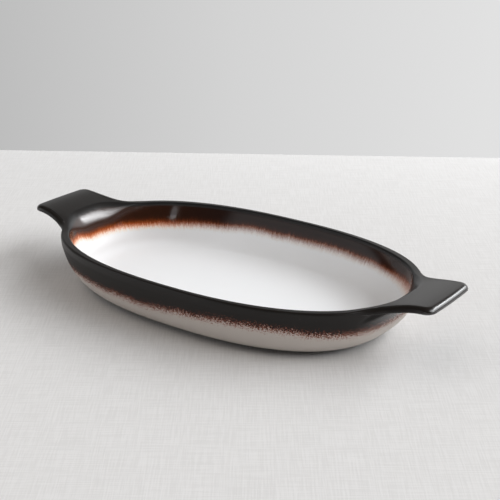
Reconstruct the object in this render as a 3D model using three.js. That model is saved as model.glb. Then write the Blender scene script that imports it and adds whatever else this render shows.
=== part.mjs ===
// Oval eared serving dish in glazed stoneware, in millimetres.
// +X runs through the two ears, +Z is up, and the origin is the middle of the foot on the table.
// The dish is four clay members luted together: the bowl, an ear at each end, and the foot ring.

import * as THREE from "three";

// Bowl
const bowlLength = 300;        // over the lip, between the ears
const bowlWidth = 174.5;       // over the lip, across the dish
const dishHeight = 40.5;       // table to the lip along the sides
const wallThickness = 5;
const floorThickness = 5.5;
const lipRounding = 1.6;       // radius on both edges of the lip
const earRoll = 4.2;           // radius where the lip rolls into the well beside an ear
const lutedRounding = 0.15;    // what is left of the outer rounding where an ear is luted on
const endDraw = 31;            // how far the outside draws in from lip to underside, at the ends
const sideDraw = 18.5;         // the same, along the sides
const cornerFill = 3;          // extra clay where the inside of the wall turns into the floor
const lipExponent = 2.42;      // plan of the lip: 2 is an ellipse, more is squarer
const wellExponent = 2.31;     // plan of the well
const wallExponent = 1.94;     // profile of the outside: 1 is a straight slope, 2 is a quarter ellipse
const cornerExponent = 2.1;    // profile of the inside

// Foot ring
const footHeight = 2.7;
const footWidth = 5;
const footSetback = 6;         // from the edge of the flat underside to the outside of the foot
const footRounding = 0.8;

// Ears
const earReach = 34.5;         // from the lip to the ear's outer edge
const earEdgeWidth = 60;       // along the outer edge
const earEdgeBow = 0.9;        // how far the middle of the outer edge stands out past its corners
const earCornerRadius = 8;
const earThickness = 4.6;
const earEdgeRounding = 2;
const earRise = 7.8;           // how far the outer edge stands above the lip
const riseStart = 21;          // the rim starts to rise this far inside the end of the lip
const riseEnd = 5.5;           // and is level again this far inside the ear's outer edge
const earRootAngle = 26.7;     // turn either side of the X axis where the root leaves the lip, in degrees
const earRootDepth = 12;       // how far down the wall the root is luted
const earHollow = 13.4;        // how strongly each side is hollowed where it leaves the lip
const earSideRun = 13;         // how strongly each side straightens towards its corner
const earHaunch = 4;           // exponent of the thickening towards the root, more is shorter
const lutingGap = 0.3;         // layer of slip between an ear and the wall

// Facets
const facetsRound = 96;
const rootRings = 3;
const wallRings = 8;
const lipRings = 4;
const floorRings = 3;
const earSteps = 14;
const earColumns = 24;

const quarterTurn = Math.PI / 2;
const halfTurn = Math.PI;
const { lerp, smoothstep, degToRad } = THREE.MathUtils;

const lipHalfLength = bowlLength / 2;
const lipHalfWidth = bowlWidth / 2;
const earTip = lipHalfLength + earReach;
const floorTop = footHeight + floorThickness;
const rootTurn = degToRad(earRootAngle);

// Height of the rim at a place along X: level along the sides, and swept up into the ears.
function rimHeight(x) {
  return dishHeight + earRise * smoothstep(Math.abs(x), lipHalfLength - riseStart, earTip - riseEnd);
}

// A point of an oval whose half sizes are drawn in from the lip's.
function ovalPoint(turn, endInset, sideInset, exponent, z) {
  const bulge = (share) => Math.sign(share) * Math.abs(share) ** (2 / exponent);
  const x = (lipHalfLength - endInset) * bulge(Math.cos(turn));
  const y = (lipHalfWidth - sideInset) * bulge(Math.sin(turn));
  return new THREE.Vector3(x, y, z);
}

function lipPoint(turn, inset) {
  return ovalPoint(turn, inset, inset, lipExponent, 0);
}

// Length along a quarter of the lip from the +X end, and the turn at a length.
const quarterSteps = 1000;
const quarterLengths = [0];
for (let i = 1; i <= quarterSteps; i += 1) {
  const [last, next] = [i - 1, i].map((k) => lipPoint((quarterTurn * k) / quarterSteps, 0));
  quarterLengths.push(quarterLengths[i - 1] + last.distanceTo(next));
}
const quarterLength = quarterLengths[quarterSteps];

function turnAlongQuarter(length) {
  const after = Math.max(1, quarterLengths.findIndex((l) => l >= length));
  const [low, high] = [quarterLengths[after - 1], quarterLengths[after]];
  return (quarterTurn * (after - 1 + (length - low) / (high - low))) / quarterSteps;
}

// Turns of the facets' corners, evenly spread round the lip.
const quarterFacets = facetsRound / 4;
const firstTurns = Array.from({ length: quarterFacets }, (_, j) => {
  return turnAlongQuarter((quarterLength * j) / quarterFacets);
});
const quarterTurns = [...firstTurns, quarterTurn];
const halfTurns = [...firstTurns, ...quarterTurns.slice(1).reverse().map((turn) => halfTurn - turn)];
const turns = [...halfTurns, ...halfTurns.map((turn) => turn + halfTurn)];

// 0 at an ear's root and 1 away from it, with a short blend between.
const rootBlend = degToRad(3);

function awayFromEar(turn) {
  const fromAxis = Math.min(turn % halfTurn, halfTurn - (turn % halfTurn));
  return smoothstep(fromAxis, rootTurn - rootBlend, rootTurn + rootBlend);
}

// Radii of the lip's edges: at a root the outer one is all but square, and the inner one rolls softly.
function outerRound(turn) {
  return lerp(lutedRounding, lipRounding, awayFromEar(turn));
}

function innerRound(turn) {
  return lerp(earRoll, lipRounding, awayFromEar(turn));
}

// Share of the draw at a share of the height, down a profile that starts upright and ends level.
function drawn(depth, exponent) {
  return 1 - (1 - depth ** exponent) ** (1 / exponent);
}

// Outside of the wall: depth runs from 0 at the rim to 1 at the underside.
function outerPoint(turn, depth, gap = 0) {
  const share = drawn(depth, wallExponent);
  const z = lerp(rimHeight(lipPoint(turn, 0).x), footHeight, depth);
  return ovalPoint(turn, endDraw * share - gap, sideDraw * share - gap, lipExponent, z);
}

// Inside of the wall: depth runs from 0 at the rim to 1 at the floor.
function innerPoint(turn, depth) {
  const share = drawn(depth, cornerExponent);
  const endInset = wallThickness + (endDraw - wallThickness + cornerFill) * share;
  const sideInset = wallThickness + (sideDraw - wallThickness + cornerFill) * share;
  const point = ovalPoint(turn, endInset, sideInset, wellExponent, 0);
  point.z = lerp(rimHeight(point.x), floorTop, depth);
  return point;
}

// Joins rings of points into a skin, each ring to the next, and the last to the first where it is closed.
function skin(rings, closed) {
  const count = rings[0].length;
  const triangles = [];
  const bands = closed ? rings.length : rings.length - 1;
  for (let i = 0; i < bands; i += 1) {
    const here = i * count;
    const next = ((i + 1) % rings.length) * count;
    for (let j = 0; j < count; j += 1) {
      const k = (j + 1) % count;
      triangles.push([here + j, here + k, next + k], [here + j, next + k, next + j]);
    }
  }
  return { points: rings.flat(), triangles };
}

// Closes a skin's first or last ring with a fan to a point in its middle.
function addPole(shell, ringStart, count, pole, upward) {
  const index = shell.points.push(pole) - 1;
  for (let j = 0; j < count; j += 1) {
    const a = ringStart + j;
    const b = ringStart + ((j + 1) % count);
    shell.triangles.push(upward ? [a, b, index] : [b, a, index]);
  }
}

function toGeometry(shell) {
  const geometry = new THREE.BufferGeometry();
  const positions = shell.points.flatMap((p) => [p.x, p.y, p.z]);
  geometry.setAttribute("position", new THREE.Float32BufferAttribute(positions, 3));
  geometry.setIndex(shell.triangles.flat());
  geometry.computeVertexNormals();
  return geometry;
}

const outerWallHeight = dishHeight - footHeight;
const innerWallHeight = dishHeight - floorTop;
const rootDepth = earRootDepth / outerWallHeight;

// Depth of a ring down the outside. The rings lie closer together where an ear's root is luted on.
function outerDepth(ring, start) {
  if (ring < rootRings) return lerp(start, rootDepth, ring / rootRings);
  return lerp(rootDepth, 1, Math.sin(((ring - rootRings) / wallRings) * quarterTurn));
}

function outerLipPoint(turn, angle) {
  const round = outerRound(turn);
  const point = lipPoint(turn, round * (1 - Math.cos(angle)));
  point.z = rimHeight(point.x) - round * (1 - Math.sin(angle));
  return point;
}

function innerLipPoint(turn, angle) {
  const round = innerRound(turn);
  const inset = wallThickness - round * (1 - Math.cos(angle));
  const point = ovalPoint(turn, inset, inset, wellExponent, 0);
  point.z = rimHeight(point.x) - round * (1 - Math.sin(angle));
  return point;
}

function bowlShell() {
  const lipAngles = Array.from({ length: lipRings }, (_, i) => ((i + 1) / lipRings) * quarterTurn);
  const outside = Array.from({ length: rootRings + wallRings + 1 }, (_, i) => {
    return turns.map((turn) => outerPoint(turn, outerDepth(i, outerRound(turn) / outerWallHeight)));
  });
  const overLip = lipAngles.map((angle) => turns.map((turn) => outerLipPoint(turn, angle)));
  const intoWell = lipAngles.map((angle) => turns.map((turn) => innerLipPoint(turn, angle))).reverse();
  const insideSteps = wallRings + floorRings;
  const inside = Array.from({ length: insideSteps + 1 }, (_, i) => {
    const share = Math.sin((i / insideSteps) * quarterTurn);
    return turns.map((turn) => innerPoint(turn, lerp(innerRound(turn) / innerWallHeight, 1, share)));
  });
  const rings = [...outside.reverse(), ...overLip, ...intoWell, ...inside];
  const shell = skin(rings, false);
  addPole(shell, 0, facetsRound, new THREE.Vector3(0, 0, footHeight), false);
  addPole(shell, (rings.length - 1) * facetsRound, facetsRound, new THREE.Vector3(0, 0, floorTop), true);
  return shell;
}

// The foot stands on the table and meets the flat underside face to face.
function footShell() {
  const chamfer = footRounding / 3;
  const ring = (inset, z) => turns.map((turn) => {
    return ovalPoint(turn, endDraw + footSetback + inset, sideDraw + footSetback + inset, lipExponent, z);
  });
  return skin([
    ring(footRounding, 0),
    ring(chamfer, chamfer),
    ring(0, footRounding),
    ring(0, footHeight),
    ring(footWidth, footHeight),
    ring(footWidth, footRounding),
    ring(footWidth - chamfer, chamfer),
    ring(footWidth - footRounding, 0),
  ], true);
}

// Side of the ear in plan: a hollow curve from the lip's own direction to straight out at the corner.
const rootCorner = lipPoint(rootTurn, -lutingGap);
const lipDirection = lipPoint(rootTurn - rootBlend, -lutingGap).sub(rootCorner).normalize();
const sideEnd = new THREE.Vector2(earTip - earCornerRadius, earEdgeWidth / 2);
const sideCurve = new THREE.CubicBezierCurve(
  new THREE.Vector2(rootCorner.x, rootCorner.y),
  new THREE.Vector2(rootCorner.x + lipDirection.x * earHollow, rootCorner.y + lipDirection.y * earHollow),
  new THREE.Vector2(sideEnd.x - earSideRun, sideEnd.y),
  sideEnd,
);

// A point of the root on the wall, at a share across the ear from -1 to 1 and a distance below the rim.
const rootLength = quarterLengths[Math.round((rootTurn / quarterTurn) * quarterSteps)];

function rootPoint(across, below) {
  const turn = Math.sign(across) * turnAlongQuarter(Math.abs(across) * rootLength);
  const wallHeight = rimHeight(lipPoint(turn, 0).x) - footHeight;
  return outerPoint(turn, below / wallHeight, lutingGap);
}

// The outer edge in plan, a little bowed, with its two corners rounded.
function edgePlan(across) {
  const half = earEdgeWidth / 2;
  const intoCorner = Math.max(0, 1 - ((1 - Math.abs(across)) * half) / earCornerRadius);
  const corner = earCornerRadius * (1 - Math.sqrt(1 - intoCorner ** 2));
  return [earTip - corner - earEdgeBow * across ** 2 * (1 - intoCorner), across * half];
}

// Coons patch between the root, the outer edge and the two sides.
function earPlan(along, across) {
  const root = rootPoint(across, 0);
  const [edgeX, edgeY] = edgePlan(across);
  const side = sideCurve.getPoint(along);
  const x = lerp(root.x, edgeX, along) + side.x - lerp(rootCorner.x, sideEnd.x, along);
  const y = lerp(root.y, edgeY, along) + (side.y - lerp(rootCorner.y, sideEnd.y, along)) * across;
  return [x, y];
}

// Share of the full thickness left by the round edge, at distances from the side and from the outer edge.
function edgeShare(fromSide, fromTip) {
  const side = Math.max(0, 1 - fromSide / earEdgeRounding);
  const tip = Math.max(0, 1 - fromTip / earEdgeRounding);
  return Math.sqrt(Math.max(0, 1 - side ** 2 - tip ** 2));
}

function earShell(facing) {
  const thinnest = 1e-4;
  const points = [];
  const add = (x, y, z) => points.push(new THREE.Vector3(facing * x, y, z)) - 1;
  const acrossAt = (c) => Math.sin((c / earColumns - 0.5) * halfTurn);
  const columns = Array.from({ length: earColumns + 1 }, (_, c) => acrossAt(c));
  const top = [];
  const bottom = [];
  for (let i = 0; i <= earSteps; i += 1) {
    const along = Math.sin((i / earSteps) * quarterTurn);
    top.push([]);
    bottom.push([]);
    for (const across of columns) {
      const [x, y] = earPlan(along, across);
      const share = edgeShare((1 - Math.abs(across)) * sideCurve.getPoint(along).y, (1 - along) * earReach);
      const middle = rimHeight(x) - earThickness / 2;
      const haunch = (1 - along) ** earHaunch * (1 - across ** 2);
      const below = (lerp(earThickness, earRootDepth, haunch) - earThickness / 2) * share;
      if (share < thinnest) {
        const shared = add(x, y, middle);
        top[i].push(shared);
        bottom[i].push(shared);
      } else {
        top[i].push(add(x, y, middle + (earThickness / 2) * share));
        const seat = i === 0 ? rootPoint(across, earThickness / 2 + below) : { x, y };
        bottom[i].push(add(seat.x, seat.y, middle - below));
      }
    }
  }

  // The root's own face follows the wall down from the top to the underside.
  const root = [top[0]];
  for (let r = 1; r < rootRings; r += 1) {
    root.push(columns.map((across, c) => {
      if (top[0][c] === bottom[0][c]) return top[0][c];
      const z = lerp(points[top[0][c]].z, points[bottom[0][c]].z, r / rootRings);
      const seat = rootPoint(across, rimHeight(rootPoint(across, 0).x) - z);
      return add(seat.x, seat.y, z);
    }));
  }
  root.push(bottom[0]);

  const triangles = [];
  const put = (a, b, c) => {
    if (a === b || b === c || a === c) return;
    triangles.push(facing > 0 ? [a, b, c] : [a, c, b]);
  };
  const patch = (rows, upward) => {
    for (let i = 0; i + 1 < rows.length; i += 1) {
      for (let c = 0; c < earColumns; c += 1) {
        const [p, q, r, s] = [rows[i][c], rows[i][c + 1], rows[i + 1][c + 1], rows[i + 1][c]];
        if (upward) {
          put(p, r, q);
          put(p, s, r);
        } else {
          put(p, q, r);
          put(p, r, s);
        }
      }
    }
  };
  patch(top, true);
  patch(bottom, false);
  patch(root, false);
  return { points, triangles };
}

const glazeWhite = new THREE.MeshStandardMaterial({ color: 0xe6e3de, roughness: 0.2, metalness: 0 });
const glazeBlack = new THREE.MeshStandardMaterial({ color: 0x2b2a2a, roughness: 0.45, metalness: 0 });
const bareClay = new THREE.MeshStandardMaterial({ color: 0xb9a58c, roughness: 0.9, metalness: 0 });

const dish = new THREE.Group();

function addPiece(name, shell, material) {
  const piece = new THREE.Mesh(toGeometry(shell), material);
  piece.name = name;
  dish.add(piece);
}

addPiece("bowl", bowlShell(), glazeWhite);
addPiece("left_ear", earShell(-1), glazeBlack);
addPiece("right_ear", earShell(1), glazeBlack);
addPiece("foot_ring", footShell(), bareClay);

export default dish;
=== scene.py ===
"""Oval eared serving dish in reactive-glazed stoneware, standing on a pale cloth."""
import math

import bpy
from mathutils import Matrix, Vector


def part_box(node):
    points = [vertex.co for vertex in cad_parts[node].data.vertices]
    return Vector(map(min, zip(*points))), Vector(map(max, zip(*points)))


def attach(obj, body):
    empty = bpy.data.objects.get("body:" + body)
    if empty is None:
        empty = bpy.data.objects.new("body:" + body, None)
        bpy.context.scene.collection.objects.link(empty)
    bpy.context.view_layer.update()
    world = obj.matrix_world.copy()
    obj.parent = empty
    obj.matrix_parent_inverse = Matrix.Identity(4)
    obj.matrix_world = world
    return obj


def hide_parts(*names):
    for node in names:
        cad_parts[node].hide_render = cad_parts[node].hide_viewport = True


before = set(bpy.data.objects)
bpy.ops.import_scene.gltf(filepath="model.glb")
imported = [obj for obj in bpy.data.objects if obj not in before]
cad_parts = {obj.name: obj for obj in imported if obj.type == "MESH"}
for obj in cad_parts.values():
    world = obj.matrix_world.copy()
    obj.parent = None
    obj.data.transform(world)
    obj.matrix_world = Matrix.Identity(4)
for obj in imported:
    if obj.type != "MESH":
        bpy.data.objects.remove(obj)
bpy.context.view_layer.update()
scene = bpy.context.scene
scene.view_settings.view_transform = "Standard"


# Dish: the bowl and its two ears are one body of pale stoneware, pressed in a mould, with the ears luted on
# and the joins wiped smooth. Its closed skin runs from the middle of the well, up the wall, over the lip and
# the ears, and down to the middle of the underside. Glaze covers all of it.
bowl_low, bowl_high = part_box("bowl")
ear_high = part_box("right_ear")[1]
LIP_HEIGHT = 0.0405
DISH_SIZES = {
    "half length": bowl_high.x,
    "half width": bowl_high.y,
    "lip height": LIP_HEIGHT,
    "foot height": bowl_low.z,
    "floor thickness": 0.0055,
    "wall": 0.005,
    "lip rounding": 0.00165,
    "lip squareness": 2.42,
    "well squareness": 2.31,
    "end draw": 0.031,
    "side draw": 0.0185,
    "corner fill": 0.003,
    "wall bow": 1.94,
    "wall slant": 0.55,
    "corner bow": 2.2,
    "ear tip": ear_high.x,
    "ear edge": 0.060,
    "ear edge bend": 0.5,
    "ear corner": 0.0078,
    "ear rise": ear_high.z - LIP_HEIGHT,
    "rise start": 0.021,
    "rise end": 0.0055,
    "ear thickness": 0.0046,
    "ear edge run": 0.0042,
    "ear edge drop": 0.0034,
    "ear roll reach": 0.004,
    "ear roll drop": 0.0102,
    "ear roll flatness": 1.35,
    "ear wall": 0.0078,
    "ear root": math.radians(26.7),
    "ear root depth": 0.012,
    "ear hollow": 0.0134,
    "ear side run": 0.013,
    "columns": 481,
}
# Where an ear's edge, its corner, its tip and its roll into the well end, as shares of its root
EDGE_SHARE = 0.30
CORNER_SHARE = 0.52
TIP_FADE = (0.42, 0.60)
ROLL_FADE = (0.2, 1.05)
# How far outside the lip's line a place is wholly an ear's, and how much of the ear its roll may take up
FULLY_OUT = 0.008
ROLL_ROOM = 0.7
ROLL_GAP = 0.0003
ROLL_SOFTNESS = 0.003
# How the bent line under the rim is pulled at its ends: longer at an ear's edge and shorter at its root
UNDER_PULL = 0.36
LONGER_AT_EDGE = 0.2
SHORTER_AT_ROOT = 0.1
JUST_ABOVE_ROOT = 0.97
# How the grid's columns crowd together at the ears, and how close its doubles lie where it closes
EAR_CROWDING = 0.35
DOUBLES = 1e-5
QUARTER = math.pi / 2


class Wire:
    """A value, point or colour on its way between a tree's nodes. Operators on it add Math nodes."""

    tree = None

    def __init__(self, socket):
        self.socket = socket

    @classmethod
    def node(cls, kind, settings=None, values=None, out=None):
        """Adds a node: its settings are set first, then its sockets by name or number."""
        made = cls.tree.nodes.new(kind)
        for name, value in (settings or {}).items():
            if name == "stops":
                ramp = made.color_ramp
                for _ in range(len(value) - len(ramp.elements)):
                    ramp.elements.new(0.5)
                for element, (place, colour) in zip(ramp.elements, value):
                    element.position = place
                    element.color = (*colour, 1)
            else:
                setattr(made, name, value)
        for key, value in (values or {}).items():
            if isinstance(key, int):
                socket = made.inputs[key]
            else:
                socket = next(s for s in made.inputs if s.name == key and s.enabled)
            cls.feed(socket, value)
        if out is None:
            return cls(next(s for s in made.outputs if s.enabled))
        return cls(made.outputs[out])

    @classmethod
    def feed(cls, socket, value):
        if isinstance(value, Wire):
            cls.tree.links.new(value.socket, socket)
        elif socket.type == "VECTOR" and isinstance(value, (int, float)):
            socket.default_value = (value, value, value)
        elif socket.type == "RGBA":
            socket.default_value = (*value, 1)
        else:
            socket.default_value = value

    def math(self, operation, *others, swap=False):
        values = (*others, self) if swap else (self, *others)
        vector = any(isinstance(v, Wire) and v.socket.type == "VECTOR" for v in values)
        kind = "ShaderNodeVectorMath" if vector else "ShaderNodeMath"
        return Wire.node(kind, {"operation": operation}, dict(enumerate(values)))

    def __add__(self, other):
        return self.math("ADD", other)

    __radd__ = __add__

    def __sub__(self, other):
        return self.math("SUBTRACT", other)

    def __rsub__(self, other):
        return self.math("SUBTRACT", other, swap=True)

    def __mul__(self, other):
        return self.math("MULTIPLY", other)

    __rmul__ = __mul__

    def __truediv__(self, other):
        return self.math("DIVIDE", other)

    def __rtruediv__(self, other):
        return self.math("DIVIDE", other, swap=True)

    def __pow__(self, other):
        return self.math("POWER", other)

    def __abs__(self):
        return self.math("ABSOLUTE")

    def __neg__(self):
        return 0.0 - self

    def __gt__(self, other):
        return self.math("GREATER_THAN", other)

    def length(self):
        return Wire.node("ShaderNodeVectorMath", {"operation": "LENGTH"}, {0: self}, out="Value")

    def clamp(self):
        return Wire.node("ShaderNodeClamp", {}, {"Value": self})

    def parts(self):
        made = Wire.node("ShaderNodeSeparateXYZ", {}, {"Vector": self})
        return [Wire(socket) for socket in made.socket.node.outputs]


def point(x, y, z=0.0):
    return Wire.node("ShaderNodeCombineXYZ", {}, {"X": x, "Y": y, "Z": z})


def mix(share, first, second):
    """first where share is 0 and second where it is 1, for numbers and points."""
    vector = isinstance(first, Wire) and first.socket.type == "VECTOR"
    kind = {"data_type": "VECTOR" if vector else "FLOAT"}
    return Wire.node("ShaderNodeMix", kind, {"Factor": share, "A": first, "B": second})


def rise(value, low, high):
    """0 at low, 1 at high, smooth between."""
    ends = {"Value": value, "From Min": low, "From Max": high}
    return Wire.node("ShaderNodeMapRange", {"interpolation_type": "SMOOTHSTEP"}, ends)


def curve(start, pull, end_pull, end, w):
    """A place w of the way along a bent line, from start towards pull and past end_pull to end."""
    rest = 1 - w
    return rest**3 * start + 3 * rest**2 * w * pull + 3 * rest * w**2 * end_pull + w**3 * end


def curve_way(start, pull, end_pull, end, w):
    """Direction along that line."""
    rest = 1 - w
    return rest**2 * (pull - start) + 2 * rest * w * (end_pull - pull) + w**2 * (end - end_pull)


def grown(name, sizes, material, build):
    """A plain mesh grown by a Geometry Nodes tree. build turns the named sizes, as wires, into geometry."""
    tree = bpy.data.node_groups.new(name, "GeometryNodeTree")
    tree.is_modifier = True
    tree.interface.new_socket("Geometry", in_out="OUTPUT", socket_type="NodeSocketGeometry")
    sockets = {}
    for word, value in sizes.items():
        kind = "NodeSocketInt" if isinstance(value, int) else "NodeSocketFloat"
        sockets[word] = tree.interface.new_socket(word, in_out="INPUT", socket_type=kind)
    Wire.tree = tree
    size_node = tree.nodes.new("NodeGroupInput")
    geometry = build({word: Wire(size_node.outputs[word]) for word in sizes})
    geometry = Wire.node("GeometryNodeRealizeInstances", {}, {"Geometry": geometry})
    geometry = Wire.node("GeometryNodeSetMaterial", {}, {"Geometry": geometry, "Material": material})
    tree.links.new(geometry.socket, tree.nodes.new("NodeGroupOutput").inputs[0])
    made = bpy.data.objects.new(name, bpy.data.meshes.new(name + "_seed"))
    scene.collection.objects.link(made)
    modifier = made.modifiers.new("shape", "NODES")
    modifier.node_group = tree
    for word, value in sizes.items():
        modifier[sockets[word].identifier] = value
    plain = bpy.data.meshes.new_from_object(made.evaluated_get(bpy.context.evaluated_depsgraph_get()))
    made.modifiers.clear()
    made.data = plain
    plain.name = name
    return made


def dish_skin(size):
    """A grid: columns go round the dish, and rows from the middle of the well to that of the underside."""
    column, row = Wire.node("GeometryNodeInputPosition").parts()[:2]
    around = (0.5 - column) * (2 * math.pi)
    turn = around - EAR_CROWDING / 2 * (2 * around).math("SINE")
    cosine, sine = turn.math("COSINE"), turn.math("SINE")
    mirrored = point(cosine.math("SIGN"), sine.math("SIGN"), 1.0)
    end_share, side_share = abs(cosine), abs(sine)
    from_axis = side_share.math("ARCSINE")

    def oval(squareness, end_inset, side_inset):
        x = (size["half length"] - end_inset) * end_share ** (2 / squareness)
        y = (size["half width"] - side_inset) * side_share ** (2 / squareness)
        return point(x, y)

    rise_from = size["half length"] - size["rise start"]
    rise_to = size["ear tip"] - size["rise end"]

    def rim(x):
        return size["lip height"] + size["ear rise"] * rise(x, rise_from, rise_to)

    def under_rim(place):
        """The third part of place is the depth under the rim."""
        x, y, below = place.parts()
        return point(x, y, rim(x) - below)

    def drawn(depth, bow):
        """How far a wall has drawn in at a share of its depth: late where bow is large."""
        return 1 - (1 - depth**bow).math("MAXIMUM", 0.0) ** (1 / bow)

    # The lip's line with its outward direction, and the ear's outline outside it: a bent edge, a round
    # corner and a hollow side, each over its share of the root
    lip = oval(size["lip squareness"], 0.0, 0.0)

    def lip_outward(end, side):
        power = 2 * (size["lip squareness"] - 1) / size["lip squareness"]
        facing = point(end**power / size["half length"], side**power / size["half width"])
        return facing.math("NORMALIZE")

    lip_facing = lip_outward(end_share, side_share)
    share = from_axis / size["ear root"]
    bend, corner = size["ear edge bend"], size["ear corner"]
    corner_angle = ((size["ear edge"] / 2 - corner) / (bend - corner)).math("ARCSINE")
    to_corner = (share / EDGE_SHARE).clamp()
    round_corner = ((share - EDGE_SHARE) / (CORNER_SHARE - EDGE_SHARE)).clamp()
    edge_angle = corner_angle * to_corner
    facing_angle = edge_angle + (QUARTER - corner_angle) * round_corner

    def ray(angle):
        return point(angle.math("COSINE"), angle.math("SINE"))

    bend_middle = point(size["ear tip"] - bend, 0.0)
    edge_line = bend_middle + (bend - corner) * ray(edge_angle) + corner * ray(facing_angle)
    root_end, root_side = size["ear root"].math("COSINE"), size["ear root"].math("SINE")
    power = 2 / size["lip squareness"]
    root = point(size["half length"] * root_end**power, size["half width"] * root_side**power)
    root_x, root_y, _ = lip_outward(root_end, root_side).parts()
    side_start = bend_middle + (bend - corner) * ray(corner_angle) + point(0.0, corner)
    side_points = (
        side_start,
        side_start - point(size["ear side run"], 0.0),
        root + point(root_y, -root_x) * size["ear hollow"],
        root,
    )
    along_side = ((share - CORNER_SHARE) / (1 - CORNER_SHARE)).clamp()
    side_x, side_y, _ = curve_way(*side_points, along_side).parts()
    on_ear, on_side = 1.0 - (share > 1.0), share > CORNER_SHARE
    ear_line = mix(on_side, edge_line, curve(*side_points, along_side))
    ear_outward = mix(on_side, ray(facing_angle), point(side_y, -side_x).math("NORMALIZE"))
    outline = mix(on_ear, lip, ear_line)
    outward = mix(on_ear, lip_facing, ear_outward)
    standing_out = rise((outline - lip).length(), 0.0, FULLY_OUT)

    # Well: a flat floor and a wall that bends up to the rim, thicker and with a deeper roll beside an ear
    floor_top = size["foot height"] + size["floor thickness"]
    floor_end, floor_side = size["end draw"] + size["corner fill"], size["side draw"] + size["corner fill"]
    by_ear = 1 - rise(share, *ROLL_FADE)
    wall_thick = mix(by_ear, size["wall"], size["ear wall"])
    roll_drop = mix(by_ear, size["lip rounding"], size["ear roll drop"])

    def inner(depth):
        drawing = drawn(depth, size["corner bow"])
        end = mix(drawing, wall_thick, floor_end)
        side = mix(mix(size["wall slant"], drawing, depth), wall_thick, floor_side)
        x, y, _ = oval(size["well squareness"], end, side).parts()
        return point(x, y, mix(depth, rim(x) - roll_drop, floor_top))

    def well_floor(w):
        x, y, _ = oval(size["well squareness"], floor_end, floor_side).parts()
        return point(x * w, y * w, floor_top)

    def well_wall(w):
        return inner((w * QUARTER).math("COSINE"))

    # Outer edge of the lip and of an ear: it rounds over to the side, and curls back under an ear
    edge_run = mix(standing_out, size["lip rounding"], size["ear edge run"])
    edge_drop = mix(standing_out, size["lip rounding"], size["ear edge drop"])
    edge_under = mix(standing_out, size["lip rounding"], size["ear thickness"] - size["ear edge drop"])
    edge_start = outline - outward * edge_run

    # The rim rolls into the well: in a small round along the sides, and from far out on an ear
    reach = {0: outline - lip, 1: lip_facing}
    across_ear = Wire.node("ShaderNodeVectorMath", {"operation": "DOT_PRODUCT"}, reach, out="Value")
    room = across_ear * ROLL_ROOM - edge_run - ROLL_GAP
    roll_start = mix(by_ear, size["wall"] - size["lip rounding"], -size["ear roll reach"])
    limits = {0: roll_start, 1: -room, 2: ROLL_SOFTNESS}
    roll_start = Wire.node("ShaderNodeMath", {"operation": "SMOOTH_MAX"}, limits)
    flatness = mix(by_ear, 1.0, size["ear roll flatness"])

    def well_lip(w):
        angle = w * QUARTER
        inset = mix(angle.math("COSINE") ** flatness, roll_start, wall_thick)
        x, y, _ = oval(size["well squareness"], inset, inset).parts()
        return under_rim(point(x, y, roll_drop * (1 - angle.math("SINE") ** flatness)))

    def land(w):
        x, y, _ = mix(w, oval(size["well squareness"], roll_start, roll_start), edge_start).parts()
        return under_rim(point(x, y, 0.0))

    def upper_edge(w):
        angle = w * QUARTER
        x, y, _ = (edge_start + outward * (edge_run * angle.math("SINE"))).parts()
        return under_rim(point(x, y, edge_drop * (1 - angle.math("COSINE"))))

    def edge_below(angle):
        """angle is 0 where the edge stands out furthest. Only under an ear does the edge curl back."""
        back = edge_under * standing_out * (1 - angle.math("COSINE"))
        x, y, _ = (outline - outward * back).parts()
        return point(x, y, edge_drop + edge_under * angle.math("SINE"))

    def lower_edge(w):
        return under_rim(edge_below(w * QUARTER))

    # Outside wall and underside, with a bent line from an ear's edge to its root low on the wall
    lip_rim = rim(lip.parts()[0])
    root_share = size["ear root depth"] / (lip_rim - size["foot height"])

    def outer(depth):
        drawing = drawn(depth, size["wall bow"])
        end, side = size["end draw"] * drawing, size["side draw"] * drawing
        x, y, _ = oval(size["lip squareness"], end, side).parts()
        return point(x, y, mix(depth, lip_rim, size["foot height"]))

    def depth_form(place):
        """A place with its depth under the rim instead of its height."""
        x, y, z = place.parts()
        return point(x, y, rim(x) - z)

    def under_ear(w):
        x, y, _ = (outline - outward * (edge_under * standing_out)).parts()
        start, end = point(x, y, edge_drop + edge_under), depth_form(outer(root_share))
        leaving = (outward * -standing_out + point(0.0, 0.0, 1 - standing_out)).math("NORMALIZE")
        arriving = (depth_form(outer(root_share * JUST_ABOVE_ROOT)) - end).math("NORMALIZE")
        span = (end - start).length()
        pull = start + leaving * (span * (UNDER_PULL + LONGER_AT_EDGE * standing_out))
        end_pull = end + arriving * (span * (UNDER_PULL - SHORTER_AT_ROOT * standing_out))
        return under_rim(curve(start, pull, end_pull, end, w))

    def wall(w):
        return outer(mix((w * QUARTER).math("SINE"), root_share, 1.0))

    def underside(w):
        x, y, _ = oval(size["lip squareness"], size["end draw"], size["side draw"]).parts()
        return point(x * (1 - w), y * (1 - w), size["foot height"])

    # The rows of each stage. Wherever a stage ends, the next takes the grid's rows over.
    stages = (
        (10, well_floor), (36, well_wall), (18, well_lip), (20, land), (8, upper_edge),
        (8, lower_edge), (18, under_ear), (28, wall), (6, underside),
    )
    last_row = sum(count for count, _ in stages)
    row_number = (row + 0.5) * last_row
    place, done, inside = None, 0, 0.0
    for count, shape in stages:
        here = shape(((row_number - done) / count).clamp())
        place = here if place is None else mix(row_number > done + 0.5, place, here)
        done += count
        if shape is well_lip:
            inside = 1 - (row_number > done + 0.5)

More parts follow.
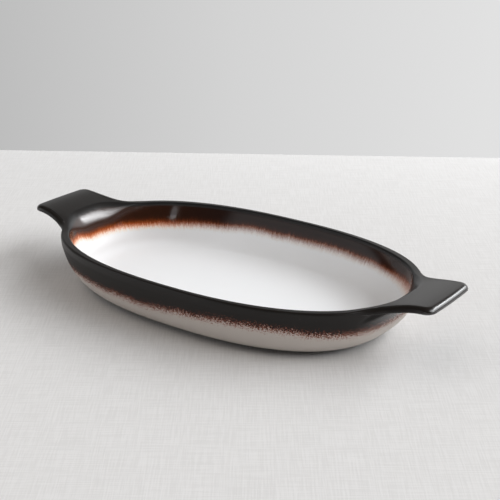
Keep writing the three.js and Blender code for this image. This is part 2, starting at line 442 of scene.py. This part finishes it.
    # The glaze is told each place's nearest place on the lip's line and its depth under the rim
    x, _, z = place.parts()
    lip_x, lip_y, _ = lip.parts()
    above = mirrored * point(lip_x, lip_y, rim(x) - z)
    grid = Wire.node("GeometryNodeMeshGrid", {}, {
        "Size X": 1.0, "Size Y": 1.0, "Vertices X": size["columns"], "Vertices Y": last_row + 1})
    noted = Wire.node("GeometryNodeStoreNamedAttribute", {"data_type": "FLOAT_VECTOR"}, {
        "Geometry": grid, "Name": "lip_above", "Value": above})
    notes = {"inside": inside, "by_ear": by_ear, "ear_tip": standing_out * (1 - rise(share, *TIP_FADE))}
    for name, value in notes.items():
        noted = Wire.node("GeometryNodeStoreNamedAttribute", {"data_type": "FLOAT"}, {
            "Geometry": noted, "Name": name, "Value": value})
    shaped = Wire.node("GeometryNodeSetPosition", {}, {"Geometry": noted, "Position": place * mirrored})
    closed = Wire.node("GeometryNodeMergeByDistance", {}, {"Geometry": shaped, "Distance": DOUBLES})
    return Wire.node("GeometryNodeSetShadeSmooth", {}, {"Geometry": closed})


def new_material(name):
    made = bpy.data.materials.new(name)
    made.use_nodes = True
    Wire.tree = made.node_tree
    return made, made.node_tree.nodes["Principled BSDF"]


def tint(share, first, second):
    """A colour between two."""
    return Wire.node("ShaderNodeMix", {"data_type": "RGBA"}, {"Factor": share, "A": first, "B": second})


def stepped(share, stops):
    """A colour that goes through the stops while share goes from 0 to 1."""
    return Wire.node("ShaderNodeValToRGB", {"stops": stops}, {"Fac": share}, out="Color")


def noise(place, scale, detail=2.0, roughness=0.5):
    values = {"Vector": place, "Scale": scale, "Detail": detail, "Roughness": roughness}
    return Wire.node("ShaderNodeTexNoise", {}, values)


def relief(shader, height, strength, distance):
    """A fine unevenness that only the light shows."""
    values = {"Height": height, "Strength": strength, "Distance": distance}
    Wire.feed(shader.inputs["Normal"], Wire.node("ShaderNodeBump", {}, values))


def stray(pattern, amount):
    """Up to half the amount to either side."""
    return (pattern - 0.5) * amount


def skin_note(name, out="Fac"):
    """What the dish's skin was told about each place."""
    return Wire.node("ShaderNodeAttribute", {"attribute_name": name}, out=out)


# Glaze: a speckled off-white all over, and a charcoal one sprayed on the lip and the ears. Where the
# charcoal runs thin over the white it breaks to brown, rust and amber, in streaks inside and in grains
# outside. The stops of a break go from the charcoal down to the white.
CHARCOAL = (0.012, 0.0115, 0.0115)
OFF_WHITE = (0.915, 0.925, 0.935)
# Painted shade: dark brown along the foot's edge, where the dish meets the table
FOOT_EDGE_SHADE = (0.045, 0.028, 0.018)
SPECK_BROWN = (0.40, 0.30, 0.24)
DULL_BREAK = (
    (0.0, (0.020, 0.010, 0.008)),
    (0.18, (0.030, 0.012, 0.008)),
    (0.33, (0.070, 0.022, 0.012)),
    (0.41, (0.24, 0.085, 0.050)),
    (0.50, (0.36, 0.22, 0.18)),
    (0.62, (0.58, 0.48, 0.45)),
    (0.78, (0.84, 0.80, 0.78)),
    (0.95, (0.925, 0.935, 0.945)),
)
AMBER_AND_SHADED_BREAK = (
    (0.0, (0.030, 0.011, 0.006)),
    (0.18, (0.045, 0.013, 0.006)),
    (0.33, (0.13, 0.030, 0.007)),
    (0.44, (0.27, 0.055, 0.012)),
    (0.54, (0.46, 0.15, 0.065)),
    (0.64, (0.66, 0.34, 0.22)),
    (0.76, (0.77, 0.66, 0.57)),
    # A greyer off-white: painted shade near the well's ends
    (0.92, (0.75, 0.74, 0.74)),
)
OUTER_BREAK_SHADED = (
    (0.0, (0.012, 0.010, 0.009)),
    (0.22, (0.020, 0.008, 0.005)),
    (0.38, (0.055, 0.013, 0.007)),
    (0.56, (0.29, 0.058, 0.023)),
    (0.67, (0.42, 0.22, 0.16)),
    # The outside's off-white, darker than the inside's: painted shade
    (0.77, (0.55, 0.49, 0.45)),
    (1.0, (0.58, 0.53, 0.49)),
)
INNER_MIDDLE = 0.58
OUTER_MIDDLE = 0.50
OUTER_SPREAD = 0.0075
SPECK_STRENGTH = 0.4
LEFT_END = (-0.145, 0.0)
NEAR_LEFT_CORNER = (-0.140, -0.040)
RIGHT_END = (0.135, 0.020)
FAR_RIGHT_CORNER = (0.135, 0.035)
SATIN_ROUGHNESS = 0.34
GLOSSY_ROUGHNESS = 0.05
MATT_ROUGHNESS = 0.48
ROLLING_SHEEN = 0.76
FLAT_SHEEN = 0.306
RIGHT_LESS_SHEEN = 0.144
RIGHT_TIP_SHEEN = 0.25
EAR_EDGE_SHARE = 0.8
UNDER_EAR_SHARE = 1.3

glaze, shader = new_material("reactive_glaze")
object_place = Wire.node("ShaderNodeTexCoord", out="Object")
inside, by_ear, ear_tip = skin_note("inside"), skin_note("by_ear"), skin_note("ear_tip")
lip_x, lip_y, below = skin_note("lip_above", out="Vector").parts()
sway = noise(point(lip_x, lip_y), 26.0)
streak = noise(point(lip_x, lip_y, below * 0.12), 1200.0, 3.0, 0.7)
grain = noise(object_place, 1000.0, 3.0, 0.85)
fine = noise(object_place, 3000.0, 2.0, 0.7)


def near(place, close, far):
    """1 within close of a place on the lip's line, and 0 beyond far."""
    return 1 - rise((point(lip_x, lip_y) - point(*place)).length(), close, far)


# Inside, the charcoal is clear and brown where it runs thin, and ends in a soft rust edge. It reaches
# deepest at the left end, but less at the thin near corner there. Near the ends it burns amber, and below
# the amber the off-white is greyer, as painted shade. The well's floor is plain off-white.
thin = near(NEAR_LEFT_CORNER, 0.010, 0.034)
burnt_and_shaded = (near(LEFT_END, 0.040, 0.125) + near(FAR_RIGHT_CORNER, 0.010, 0.055) * 0.4).clamp()
inner_edge = 0.0184 - 0.0042 * rise(lip_x, -0.120, -0.030) - thin * 0.005
inner_spread = 0.012 + 0.011 * near(RIGHT_END, 0.015, 0.055)
inner_depth = below + stray(sway, 0.004) + stray(streak, 0.006) + stray(grain, 0.004)
inner_share = ((inner_depth - inner_edge) / inner_spread + INNER_MIDDLE).clamp()
inner_colour = tint(burnt_and_shaded, stepped(inner_share, DULL_BREAK), stepped(inner_share, AMBER_AND_SHADED_BREAK))
inner_colour = tint(rise(below, 0.0015, 0.0035), CHARCOAL, inner_colour)
inner_colour = tint(rise(below, 0.027, 0.033), inner_colour, OFF_WHITE)

# Outside, it is opaque down to a fringe of rusty grains, deeper on the left and under the right ear. Below
# the fringe the off-white carries painted shade: darker than inside, and dark brown just above the foot
outer_edge = 0.0143 + 0.0050 * (1 - rise(lip_x, -0.030, 0.075)) + 0.0026 * rise(lip_x, 0.085, 0.120)
outer_depth = below + stray(sway, 0.004) + stray(grain, 0.028) + stray(streak, 0.003)
outer_share = ((outer_depth - outer_edge) / OUTER_SPREAD + OUTER_MIDDLE).clamp()
outer_colour = stepped(outer_share, OUTER_BREAK_SHADED)
outer_colour = tint(rise(below, 0.0355, 0.0370), outer_colour, FOOT_EDGE_SHADE)

colour = tint(inside, outer_colour, inner_colour)
speck = rise(grain, 0.68, 0.76) * rise(streak, 0.50, 0.62)
colour = tint(speck * SPECK_STRENGTH, colour, SPECK_BROWN)
Wire.feed(shader.inputs["Base Color"], colour)

# The charcoal is satin on the lip and the ears, matt under the lip, and glossy inside below the roll
dark = 1 - rise(inner_share, 0.46, 0.72)
roll_foot = 0.002 + by_ear * 0.0085
glossy = inside * rise(below, roll_foot, roll_foot + 0.002) * dark
matt = (1 - inside) * rise(below, 0.004, 0.007)
roughness = SATIN_ROUGHNESS + glossy * (GLOSSY_ROUGHNESS - SATIN_ROUGHNESS)
roughness = roughness + matt * (MATT_ROUGHNESS - SATIN_ROUGHNESS) + stray(fine, 0.06)
Wire.feed(shader.inputs["Roughness"], roughness)
shader.inputs["Specular IOR Level"].default_value = 0.25

# A clear layer over it gives the ears a sheen: on their flat tops, where these roll over at the left end,
# round their edges, and on the wall under them
inner_sheen = by_ear * (1 - rise(below, roll_foot - 0.004, roll_foot - 0.001))
under_ear_sheen = by_ear * rise(below, 0.009, 0.011) * (1 - rise(below, 0.015, 0.018))
ear_edge_sheen = ear_tip * EAR_EDGE_SHARE * (1 - rise(below, 0.004, 0.006))
outer_sheen = ear_edge_sheen + under_ear_sheen * UNDER_EAR_SHARE
on_right = rise(lip_x, -0.02, 0.02)
rolling = rise(below, 0.0, 0.0008) * (1 - inside * on_right)
right_tip = rise(object_place.parts()[0], 0.150, 0.185)
flat_sheen = FLAT_SHEEN + on_right * (RIGHT_TIP_SHEEN * right_tip - RIGHT_LESS_SHEEN)
sheen = mix(inside, outer_sheen, inner_sheen) * mix(rolling, flat_sheen, ROLLING_SHEEN)
Wire.feed(shader.inputs["Coat Weight"], sheen.clamp())
shader.inputs["Coat Roughness"].default_value = 0.19
shader.inputs["Coat IOR"].default_value = 1.9
relief(shader, fine, 0.15, 0.0001)

dish = grown("glazed_dish", DISH_SIZES, glaze, dish_skin)
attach(dish, "root")
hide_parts("bowl", "left_ear", "right_ear")


# Foot ring: a low ring of the same clay, thrown on under the floor and wiped clean of glaze so that the dish
# doesn't stick to the kiln shelf. It stands back from the edge of the underside.
foot_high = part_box("foot_ring")[1]
FOOT_SIZES = {
    "half length": foot_high.x,
    "half width": foot_high.y,
    "squareness": DISH_SIZES["lip squareness"],
    "height": foot_high.z,
    "width": 0.005,
    "rounding": 0.0008,
    "seat": 0.0012,
    "columns": 360,
}
CLAY_PALE = (0.50, 0.39, 0.28)
CLAY_DARK = (0.36, 0.26, 0.18)
CLAY_PATCH = (0.60, 0.50, 0.40)


def foot_skin(size):
    """A rounded section swept along the oval. A circle lends the path its points."""
    turn = Wire.node("GeometryNodeSplineParameter", out="Factor") * (2 * math.pi)
    cosine, sine = turn.math("COSINE"), turn.math("SINE")
    power = 2 / size["squareness"]
    middle_x, middle_y = size["half length"] - size["width"] / 2, size["half width"] - size["width"] / 2
    tall = size["height"] + size["seat"]
    line = point(
        middle_x * cosine.math("SIGN") * abs(cosine) ** power,
        middle_y * sine.math("SIGN") * abs(sine) ** power,
        tall / 2,
    )
    round_path = {"Resolution": size["columns"], "Radius": 0.1}
    circle = Wire.node("GeometryNodeCurvePrimitiveCircle", {}, round_path)
    path = Wire.node("GeometryNodeSetPosition", {}, {"Geometry": circle, "Position": line})
    block_sides = {"Width": size["width"], "Height": tall}
    block = Wire.node("GeometryNodeCurvePrimitiveQuadrilateral", {}, block_sides)
    corners = {"Curve": block, "Count": 5, "Radius": size["rounding"]}
    section = Wire.node("GeometryNodeFilletCurve", {"mode": "POLY"}, corners)
    sweep = {"Curve": path, "Profile Curve": section, "Fill Caps": False}
    swept = Wire.node("GeometryNodeCurveToMesh", {}, sweep)
    return Wire.node("GeometryNodeSetShadeSmooth", {}, {"Geometry": swept})


clay, shader = new_material("bare_clay")
object_place = Wire.node("ShaderNodeTexCoord", out="Object")
sand = noise(object_place, 1800.0, 3.0, 0.7)
patch = noise(object_place, 60.0)
clay_colour = tint(rise(sand, 0.35, 0.7), CLAY_PALE, CLAY_DARK)
clay_colour = tint(rise(patch, 0.5, 0.8) * 0.4, clay_colour, CLAY_PATCH)
Wire.feed(shader.inputs["Base Color"], clay_colour)
Wire.feed(shader.inputs["Roughness"], 0.8 + stray(sand, 0.2))
relief(shader, sand, 0.4, 0.0002)

foot = grown("foot_ring_clay", FOOT_SIZES, clay, foot_skin)
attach(foot, "root")
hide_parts("foot_ring")


# Table and wall: a pale woven cloth lies under the dish, and a plain pale board stands 0.4 m behind it. The
# dish stands askew in front of the camera, so the room's directions are turned against its own.
DISH_TURN = math.radians(-35.984)
TABLE_REACH = 2
WALL_DISTANCE = 0.4013
WALL_REACH = 0.9
WALL_HEIGHT = 0.32
WALL_TURN = math.radians(-3.28)
CLOTH_GAPS = (0.680, 0.672, 0.664)
CLOTH_THREADS = (0.735, 0.728, 0.722)


def room_to_dish(x, y, z=0.0):
    """A place in the room, seen from the dish: x to the right of the camera, y away from it."""
    cosine, sine = math.cos(DISH_TURN), math.sin(DISH_TURN)
    return Vector((x * cosine + y * sine, -x * sine + y * cosine, z))


def slab(name, corners, material):
    mesh = bpy.data.meshes.new(name)
    mesh.from_pydata(corners, [], [(0, 1, 2, 3)])
    mesh.materials.append(material)
    made = bpy.data.objects.new(name, mesh)
    scene.collection.objects.link(made)
    return made


def turned_to_room(place):
    """A place on a piece, seen along the room's directions."""
    return Wire.node("ShaderNodeMapping", {}, {"Vector": place, "Rotation": (0, 0, DISH_TURN)})


cloth, shader = new_material("cloth")
threads = turned_to_room(Wire.node("ShaderNodeTexCoord", out="Object"))
along_threads = Wire.node("ShaderNodeMapping", {}, {"Vector": threads, "Scale": (1.0, 0.04, 1.0)})
across_threads = Wire.node("ShaderNodeMapping", {}, {"Vector": threads, "Scale": (0.04, 1.0, 1.0)})
weave = noise(along_threads, 900.0, 2.0, 0.6) + noise(across_threads, 900.0, 2.0, 0.6)
Wire.feed(shader.inputs["Base Color"], tint(rise(weave, 0.8, 1.2), CLOTH_GAPS, CLOTH_THREADS))
shader.inputs["Roughness"].default_value = 0.95
relief(shader, weave, 0.2, 0.0003)


def wall_place(x, z):
    """A place on the wall's face, x from the middle."""
    way = Vector((math.cos(WALL_TURN), math.sin(WALL_TURN)))
    return room_to_dish(x * way.x, WALL_DISTANCE + x * way.y, z)


def grey(level):
    return level, level, level


# The board's colour is painted light: it glows by itself, brighter toward the right, with a painted shadow
# that dims it above a slanting soft edge. From behind it is clear, so that it never hides the dish.
WALL_LIGHT = ((0.0, grey(0.46)), (0.12, grey(0.51)), (0.5, grey(0.655)), (0.88, grey(0.755)))
WALL_LIT_WIDTH = 0.7
SHADE_GREY = grey(0.26)
SHADE_HEIGHT = 0.169
SHADE_SLANT = 0.9
SHADE_BLUR = 0.025

# Its glow is painted light and a painted shadow, not a lamp
wall_glow, shader = new_material("wall_painted_light")
room_x, _, room_z = turned_to_room(Wire.node("ShaderNodeTexCoord", out="Object")).parts()
wall_light = stepped((room_x / WALL_LIT_WIDTH + 0.5).clamp(), WALL_LIGHT)
shade_from = SHADE_HEIGHT + (room_x * SHADE_SLANT).clamp()
wall_light = tint(rise(room_z, shade_from, shade_from + SHADE_BLUR), wall_light, SHADE_GREY)
shader.inputs["Base Color"].default_value = (0.0, 0.0, 0.0, 1)
Wire.feed(shader.inputs["Emission Color"], wall_light)
shader.inputs["Emission Strength"].default_value = 1.0
shader.inputs["Specular IOR Level"].default_value = 0.0
seen_from_behind = Wire.node("ShaderNodeNewGeometry", out="Backfacing")
Wire.feed(shader.inputs["Alpha"], 1.0 - seen_from_behind)

table_corners = [
    room_to_dish(-TABLE_REACH, -TABLE_REACH),
    room_to_dish(TABLE_REACH, -TABLE_REACH),
    wall_place(TABLE_REACH, 0),
    wall_place(-TABLE_REACH, 0),
]
slab("table", table_corners, cloth)
wall_corners = [
    wall_place(-WALL_REACH, 0),
    wall_place(WALL_REACH, 0),
    wall_place(WALL_REACH, WALL_HEIGHT),
    wall_place(-WALL_REACH, WALL_HEIGHT),
]
wall = slab("wall", wall_corners, wall_glow)
wall.visible_shadow = False


# Light: a wide window on the right, in five rows that fade downward, and the ceiling's glow from behind on
# the left. The room behind the camera is dim and warm, and a panel, a door's gap and a lamp in it show as
# small reflections. Past the wall the camera sees a pale room, which lights nothing.
WORLD_GLOW = (0.050, 0.037, 0.027)
WINDOW_COLOUR = (0.96, 0.98, 1.0)
CEILING_COLOUR = (1.0, 0.98, 0.96)
ROOM_COLOUR = (1.0, 0.76, 0.56)
WINDOW_DISTANCE = 5.0
ROW_HEIGHT = 0.87
WINDOW_ROWS = (
    (55, 112, 3.0, 20),
    (45, 98, 8.4, 135),
    (34, 85, 8.4, 168),
    (24, 82, 8.4, 78),
    (14, 82, 8.4, 35),
)

world = bpy.data.worlds.new("world")
scene.world = world
world.use_nodes = True
Wire.tree = world.node_tree
background = world.node_tree.nodes["Background"]
to_camera = Wire.node("ShaderNodeLightPath", out="Is Camera Ray")
Wire.feed(background.inputs["Color"], tint(to_camera, WORLD_GLOW, grey(0.70)))
background.inputs["Strength"].default_value = 1.0


def window(name, azimuth, elevation, distance, size, power, colour):
    """azimuth is 0 straight behind the dish and 90 on its right, in degrees. power is in watts."""
    level = math.cos(math.radians(elevation)) * distance
    data = bpy.data.lights.new(name, "AREA")
    data.shape = "RECTANGLE"
    data.size, data.size_y = size
    data.energy = power
    data.color = colour
    made = bpy.data.objects.new(name, data)
    made.location = room_to_dish(
        level * math.sin(math.radians(azimuth)),
        level * math.cos(math.radians(azimuth)),
        math.sin(math.radians(elevation)) * distance,
    )
    made.rotation_mode = "QUATERNION"
    made.rotation_quaternion = (-made.location).to_track_quat("-Z", "Y")
    scene.collection.objects.link(made)
    return made


for elevation, azimuth, width, power in WINDOW_ROWS:
    row_size = (width, ROW_HEIGHT)
    window(f"window_{elevation}", azimuth, elevation, WINDOW_DISTANCE, row_size, power, WINDOW_COLOUR)
ceiling = window("ceiling", 312, 60, 2.5, (4.0, 4.0), 25, CEILING_COLOUR)
ceiling.visible_glossy = False
behind = window("room_behind", 207, 58, 3.0, (2.6, 1.6), 2, ROOM_COLOUR)
behind.visible_glossy = False
window("side_panel", 259.5, 17, 1.2, (1.09, 0.84), 3.0, WINDOW_COLOUR)
window("door_gap", 201, 15, 1.5, (0.02, 0.60), 0.7, WINDOW_COLOUR)
window("lamp", 200, 19, 1.5, (0.04, 0.03), 0.15, WINDOW_COLOUR)


# Camera: a short telephoto on a stand, 0.87 m from the middle of the dish's mouth and looking down on it at
# 21 degrees. Its picture is square.
PICTURE = 500
FOCAL_PIXELS = 1143.9
TILT = math.radians(20.964)
DISTANCE = 0.870
SIDEWAYS = -0.01311
UPWARDS = 0.000126

camera_data = bpy.data.cameras.new("camera")
camera_data.lens = camera_data.sensor_width * FOCAL_PIXELS / PICTURE
camera = bpy.data.objects.new("camera", camera_data)
scene.collection.objects.link(camera)
scene.camera = camera
right = room_to_dish(1, 0)
ahead = room_to_dish(0, math.cos(TILT), -math.sin(TILT))
above = right.cross(ahead)
camera.location = Vector((0, 0, LIP_HEIGHT)) - ahead * DISTANCE - right * SIDEWAYS - above * UPWARDS
camera.rotation_mode = "QUATERNION"
camera.rotation_quaternion = ahead.to_track_quat("-Z", "Y")
